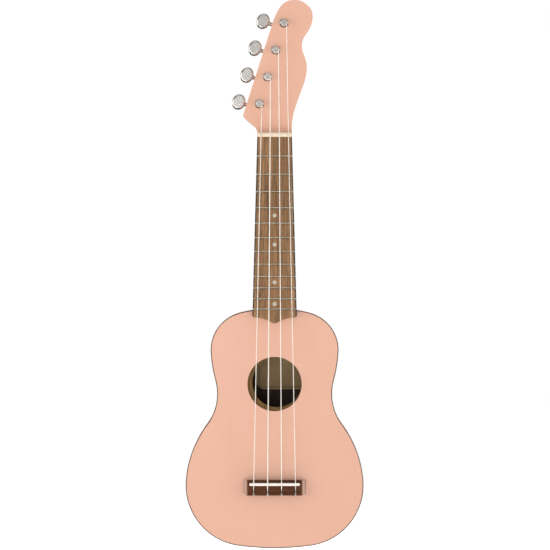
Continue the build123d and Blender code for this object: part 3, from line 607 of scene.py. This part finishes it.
def string_turns(note):
    """The turns on the post's waist, and the end that passes through the post."""
    post = post_axis(note)
    diameter = STRING_D[note]
    wrap = wrap_radius(note) / RING_SHRINK
    meshes = []
    for turn in TURNS:
        points = []
        for step in range(RING_POINTS):
            angle = 2 * math.pi * step / RING_POINTS
            side = Vector((math.cos(angle), 0, math.sin(angle))) * wrap
            height = POST_STRING_Y + turn * diameter + RING_TILT * diameter * math.sin(angle)
            points.append(post + side + Vector((0, height, 0)))
        meshes.append(tube_mesh("turn", points, diameter / 2, cyclic=True))
    # The end climbs from the top turn to the cross hole: x and z are shares of the turns' radius
    top = POST_STRING_Y - diameter
    climb = (
        (-0.2, top, 1.0),
        (-0.9, top - 0.1 * MM, 0.75),
        (-1.08, POST_HOLE_Y + 0.2 * MM, 0.1),
        (-0.8, POST_HOLE_Y, 0),
    )
    points = [post + Vector((x * wrap, y, z * wrap)) for x, y, z in climb]
    points += [post + Vector((x, POST_HOLE_Y, 0)) for x in (0, wrap + END_OUT)]
    tip_x, tip_y, tip_z = END_TIP
    points.append(post + Vector((wrap + tip_x, POST_HOLE_Y + tip_y, tip_z)))
    meshes.append(tube_mesh("end", points, STRING_END_R))
    piece = joined(note + "_string_turns", meshes)
    stands_for(piece, note + "_capstan", note + "_winding")


def string_ties():
    """A small overhand knot and a clipped tail at the lower end of each string."""
    low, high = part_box("string_knots")
    middle = (low + high) / 2
    knot_r = (high.z - low.z) / 2
    meshes = []
    for index, note in enumerate(NOTES):
        radius = STRING_D[note] / 2
        size = (knot_r - radius) / KNOT_REACH
        centre = Vector((string_x(index, SADDLE_SPACING), middle.y, middle.z))
        turn = math.radians(KNOT_TURNS[index])
        points = []
        for step in range(KNOT_POINTS):
            t = 2 * math.pi * step / KNOT_POINTS
            x = math.sin(t) + 2 * math.sin(2 * t)
            z = math.cos(t) - 2 * math.cos(2 * t)
            across = x * math.cos(turn) - z * math.sin(turn)
            along = x * math.sin(turn) + z * math.cos(turn)
            points.append(centre + Vector((across, -KNOT_DEPTH * math.sin(3 * t), along)) * size)
        meshes.append(tube_mesh("knot", points, radius, cyclic=True))
        lean = TAIL_LEAN * math.sin(turn)
        tail = [centre + Vector((x * lean, y, z)) * MM for x, y, z in TAIL]
        meshes.append(tube_mesh("tail", tail, radius))
    piece = joined("string_ties", meshes)
    stands_for(piece, "instrument", "string_knots")


# ---------------------------------------------------------------- studio


def soft_box(name, place, target, size, power):
    """A large lamp that the camera doesn't see."""
    light = bpy.data.lights.new(name, "AREA")
    light.shape = "RECTANGLE"
    light.size, light.size_y = size
    light.energy = power
    lamp = bpy.data.objects.new(name, light)
    lamp.location = place
    lamp.rotation_mode = "QUATERNION"
    lamp.rotation_quaternion = (Vector(target) - Vector(place)).to_track_quat("-Z", "Y")
    lamp.visible_camera = False
    bpy.context.scene.collection.objects.link(lamp)


def studio_world():
    """Soft room light: bright from above, dim from below the floor."""
    world = bpy.data.worlds.new("studio")
    world.use_nodes = True
    tree = world.node_tree
    place = tree.nodes.new("ShaderNodeTexCoord").outputs["Generated"]
    split = tree.nodes.new("ShaderNodeSeparateXYZ")
    tree.links.new(place, split.inputs[0])
    ramp = tree.nodes.new("ShaderNodeValToRGB")
    height = tree.nodes.new("ShaderNodeMapRange")
    height.inputs["From Min"].default_value = -1.0
    tree.links.new(split.outputs["Z"], height.inputs["Value"])
    tree.links.new(height.outputs[0], ramp.inputs[0])
    while len(ramp.color_ramp.elements) < len(WORLD_STOPS):
        ramp.color_ramp.elements.new(0.5)
    for element, (position, grey) in zip(ramp.color_ramp.elements, WORLD_STOPS):
        element.position = position
        element.color = (grey, grey, grey, 1)
    tree.links.new(ramp.outputs[0], tree.nodes["Background"].inputs[0])
    tree.nodes["Background"].inputs[1].default_value = WORLD_STRENGTH
    bpy.context.scene.world = world


def stage_piece(name, make, shape, **finish):
    """A floor or a backdrop, from a bmesh maker, that metal doesn't mirror."""
    mesh = bpy.data.meshes.new(name)
    form = bmesh.new()
    make(form, radius=BACKDROP_R, **shape)
    form.to_mesh(mesh)
    form.free()
    n = Nodes(name)
    n.set(**finish)
    piece = bpy.data.objects.new(name, mesh)
    piece.data.materials.append(n.material)
    piece.visible_glossy = False
    bpy.context.scene.collection.objects.link(piece)
    return piece


def studio():
    """Pale floor, white backdrop all round, and soft boxes."""
    studio_world()
    low, high = cad_box
    middle = (low + high) / 2
    for name, (place, size, power) in BOXES.items():
        soft_box(name, Vector(place) + Vector((0, 0, middle.z)), middle, size, power)

    # The floor glows a little, so that it stays as pale as the backdrop far from the lamps
    floor = stage_piece(
        "floor", bmesh.ops.create_circle, {"cap_ends": True, "segments": 96},
        Base_Color=FLOOR_COLOUR, Roughness=0.8, Emission_Color=WHITE, Emission_Strength=FLOOR_GLOW,
    )
    floor.location.z = low.z - FLOOR_GAP
    # The backdrop lights nothing: only the camera sees it
    backdrop = stage_piece(
        "backdrop", bmesh.ops.create_uvsphere, {"u_segments": 64, "v_segments": 32},
        Base_Color=BLACK, Emission_Color=WHITE, Emission_Strength=1.0,
    )
    backdrop.visible_diffuse = False
    backdrop.visible_shadow = False
    backdrop.visible_transmission = False


def camera():
    """A level camera far in front, so there is little perspective."""
    data = bpy.data.cameras.new("camera")
    data.sensor_width = CAMERA_SENSOR
    data.lens = CAMERA_LENS
    lens = bpy.data.objects.new("camera", data)
    lens.location = CAMERA_PLACE
    lens.rotation_euler = (math.radians(90), 0, 0)
    bpy.context.scene.collection.objects.link(lens)
    bpy.context.scene.camera = lens


bpy.context.scene.view_settings.view_transform = "Standard"
dress_frame()
for index, note in enumerate(NOTES):
    string_line(index, note)
    string_turns(note)
string_ties()
studio()
camera()
